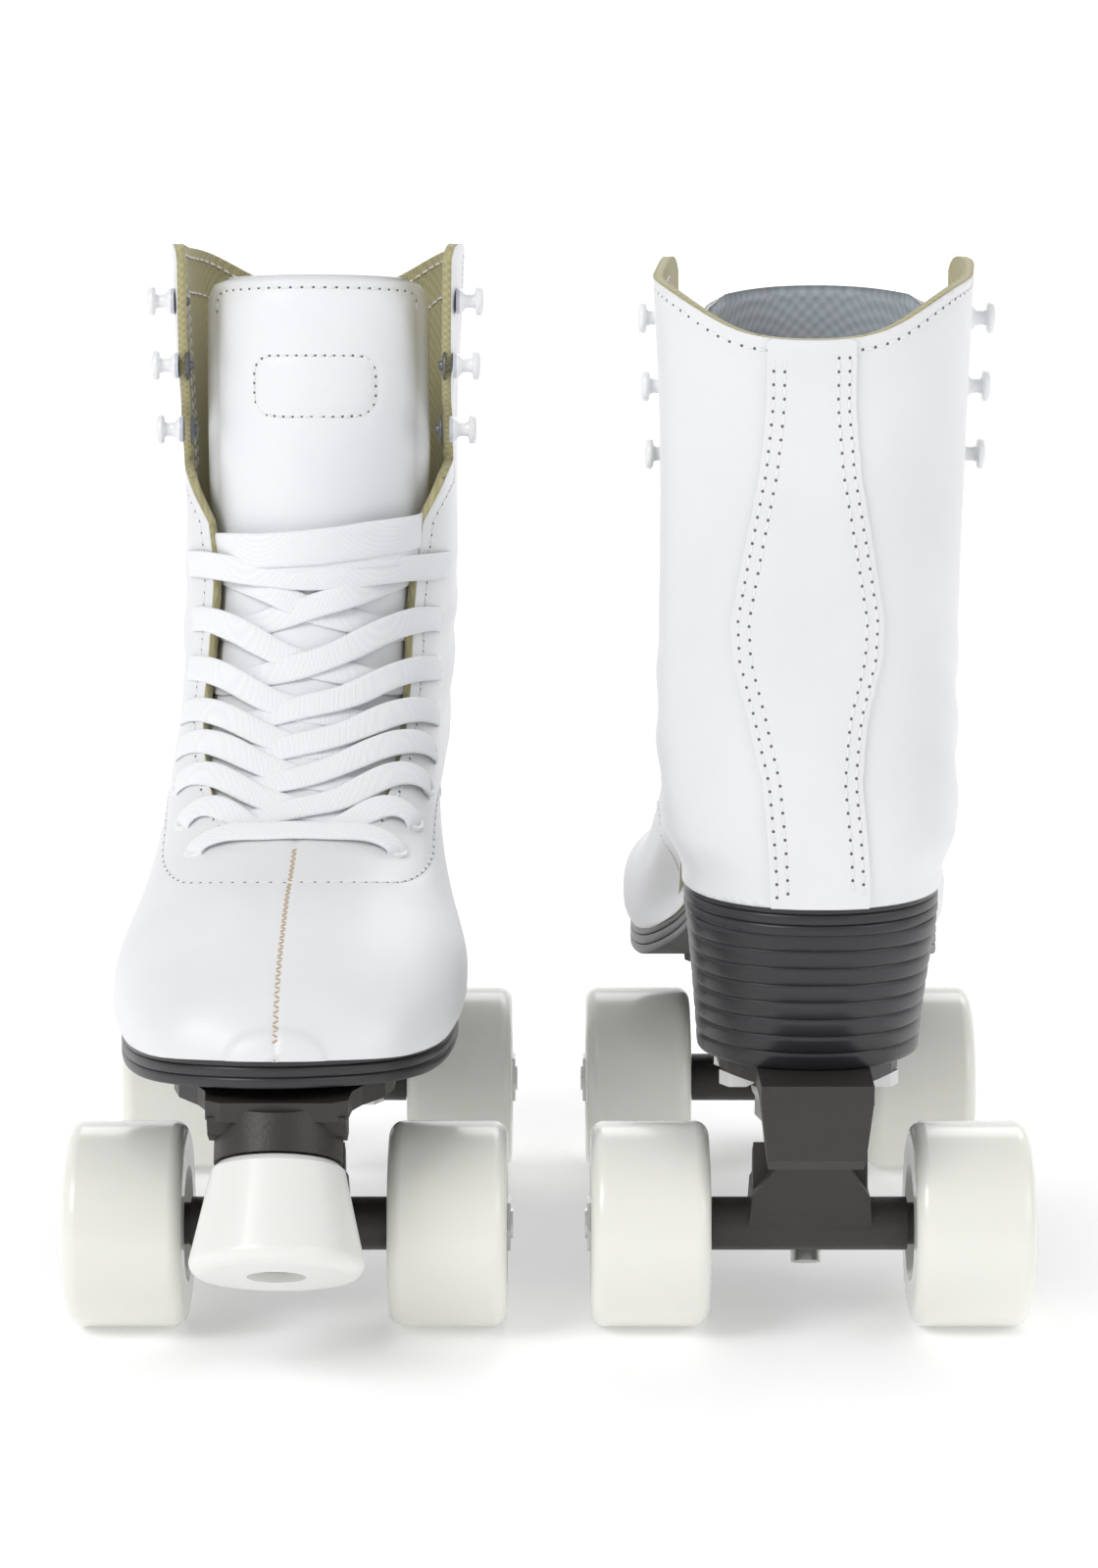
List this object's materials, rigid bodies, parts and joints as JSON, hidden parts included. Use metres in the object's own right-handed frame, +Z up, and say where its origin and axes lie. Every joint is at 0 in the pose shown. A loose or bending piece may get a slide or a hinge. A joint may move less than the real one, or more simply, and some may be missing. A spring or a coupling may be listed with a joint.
{
  "type": "quad roller skates",
  "caption": "Pair of white lace-up quad roller skates: high boots on stacked heels, plates with tilting trucks, spinning wheels and toe stops.",
  "frame": {"origin": "on the floor, at the middle of the pair's outline seen from above", "axes": "+Z up, +Y the way the right skate's toe points (the left skate's toe points along -Y), +X from the left skate to the right skate"},
  "size_m": [0.255, 0.3048, 0.278],
  "materials": {
    "boot_leather": "satin",
    "tongue_leather": "satin",
    "insole_fabric": "matte",
    "white_enamel": "gloss",
    "lace_fabric": "matte",
    "sole_black": "satin",
    "plate_black": "matte",
    "zinc_steel": "satin",
    "stop_rubber": "gloss",
    "cushion_urethane": "satin",
    "cup_plastic": "matte",
    "wheel_urethane": "gloss",
    "bearing_steel": "satin"
  },
  "bodies": {
    "left_boot": {"left_upper_outer_side": "boot_leather", "left_upper_inner_side": "boot_leather", "left_backstay": "boot_leather", "left_tongue": "tongue_leather", "left_insole": "insole_fabric", "left_eyelets": "white_enamel", "left_lace_hooks": "white_enamel", "left_lace": "lace_fabric", "left_sole_unit": "sole_black", "left_plate": "plate_black", "left_plate_fasteners": "zinc_steel", "left_toe_stop": "stop_rubber", "left_toe_stop_bolt": "zinc_steel", "left_kingpins": "zinc_steel", "left_cushions": "cushion_urethane", "left_pivot_cups": "cup_plastic"},
    "left_rear_truck": {"left_rear_hanger": "plate_black", "left_rear_axle": "zinc_steel", "left_rear_axle_nuts": "zinc_steel"},
    "left_rear_outer_wheel": {"left_rear_outer_wheel": "wheel_urethane", "left_rear_outer_bearings": "bearing_steel"},
    "left_rear_inner_wheel": {"left_rear_inner_wheel": "wheel_urethane", "left_rear_inner_bearings": "bearing_steel"},
    "left_front_truck": {"left_front_hanger": "plate_black", "left_front_axle": "zinc_steel", "left_front_axle_nuts": "zinc_steel"},
    "left_front_outer_wheel": {"left_front_outer_wheel": "wheel_urethane", "left_front_outer_bearings": "bearing_steel"},
    "left_front_inner_wheel": {"left_front_inner_wheel": "wheel_urethane", "left_front_inner_bearings": "bearing_steel"},
    "right_boot": {"right_upper_outer_side": "boot_leather", "right_upper_inner_side": "boot_leather", "right_backstay": "boot_leather", "right_tongue": "tongue_leather", "right_insole": "insole_fabric", "right_eyelets": "white_enamel", "right_lace_hooks": "white_enamel", "right_lace": "lace_fabric", "right_sole_unit": "sole_black", "right_plate": "plate_black", "right_plate_fasteners": "zinc_steel", "right_toe_stop": "stop_rubber", "right_toe_stop_bolt": "zinc_steel", "right_kingpins": "zinc_steel", "right_cushions": "cushion_urethane", "right_pivot_cups": "cup_plastic"},
    "right_rear_truck": {"right_rear_hanger": "plate_black", "right_rear_axle": "zinc_steel", "right_rear_axle_nuts": "zinc_steel"},
    "right_rear_outer_wheel": {"right_rear_outer_wheel": "wheel_urethane", "right_rear_outer_bearings": "bearing_steel"},
    "right_rear_inner_wheel": {"right_rear_inner_wheel": "wheel_urethane", "right_rear_inner_bearings": "bearing_steel"},
    "right_front_truck": {"right_front_hanger": "plate_black", "right_front_axle": "zinc_steel", "right_front_axle_nuts": "zinc_steel"},
    "right_front_outer_wheel": {"right_front_outer_wheel": "wheel_urethane", "right_front_outer_bearings": "bearing_steel"},
    "right_front_inner_wheel": {"right_front_inner_wheel": "wheel_urethane", "right_front_inner_bearings": "bearing_steel"}
  },
  "joints": [
    {"name": "left_rear_truck_tilt", "type": "hinge", "parent": "left_boot", "child": "left_rear_truck", "pos_m": [-0.0685, 0.058, 0.038], "axis": [0, 0.9203, 0.3911], "range_deg": [-7, 7], "stiffness_Nm_per_rad": 30},
    {"name": "left_rear_outer_wheel_spin", "type": "hinge", "parent": "left_rear_truck", "child": "left_rear_outer_wheel", "pos_m": [-0.0265, 0.08, 0.027], "axis": [1, 0, 0], "continuous": true},
    {"name": "left_rear_inner_wheel_spin", "type": "hinge", "parent": "left_rear_truck", "child": "left_rear_inner_wheel", "pos_m": [-0.1105, 0.08, 0.027], "axis": [1, 0, 0], "continuous": true},
    {"name": "left_front_truck_tilt", "type": "hinge", "parent": "left_boot", "child": "left_front_truck", "pos_m": [-0.0685, -0.058, 0.038], "axis": [0, -0.9203, 0.3911], "range_deg": [-7, 7], "stiffness_Nm_per_rad": 30},
    {"name": "left_front_outer_wheel_spin", "type": "hinge", "parent": "left_front_truck", "child": "left_front_outer_wheel", "pos_m": [-0.0265, -0.08, 0.027], "axis": [1, 0, 0], "continuous": true},
    {"name": "left_front_inner_wheel_spin", "type": "hinge", "parent": "left_front_truck", "child": "left_front_inner_wheel", "pos_m": [-0.1105, -0.08, 0.027], "axis": [1, 0, 0], "continuous": true},
    {"name": "right_rear_truck_tilt", "type": "hinge", "parent": "right_boot", "child": "right_rear_truck", "pos_m": [0.0685, -0.058, 0.038], "axis": [0, -0.9203, 0.3911], "range_deg": [-7, 7], "stiffness_Nm_per_rad": 30},
    {"name": "right_rear_outer_wheel_spin", "type": "hinge", "parent": "right_rear_truck", "child": "right_rear_outer_wheel", "pos_m": [0.1105, -0.08, 0.027], "axis": [1, 0, 0], "continuous": true},
    {"name": "right_rear_inner_wheel_spin", "type": "hinge", "parent": "right_rear_truck", "child": "right_rear_inner_wheel", "pos_m": [0.0265, -0.08, 0.027], "axis": [1, 0, 0], "continuous": true},
    {"name": "right_front_truck_tilt", "type": "hinge", "parent": "right_boot", "child": "right_front_truck", "pos_m": [0.0685, 0.058, 0.038], "axis": [0, 0.9203, 0.3911], "range_deg": [-7, 7], "stiffness_Nm_per_rad": 30},
    {"name": "right_front_outer_wheel_spin", "type": "hinge", "parent": "right_front_truck", "child": "right_front_outer_wheel", "pos_m": [0.1105, 0.08, 0.027], "axis": [1, 0, 0], "continuous": true},
    {"name": "right_front_inner_wheel_spin", "type": "hinge", "parent": "right_front_truck", "child": "right_front_inner_wheel", "pos_m": [0.0265, 0.08, 0.027], "axis": [1, 0, 0], "continuous": true},
    {"name": "right_skate_lift", "type": "slide", "parent": "left_boot", "child": "right_boot", "axis": [0, 0, 1], "range_m": [0, 0.25]}
  ]
}
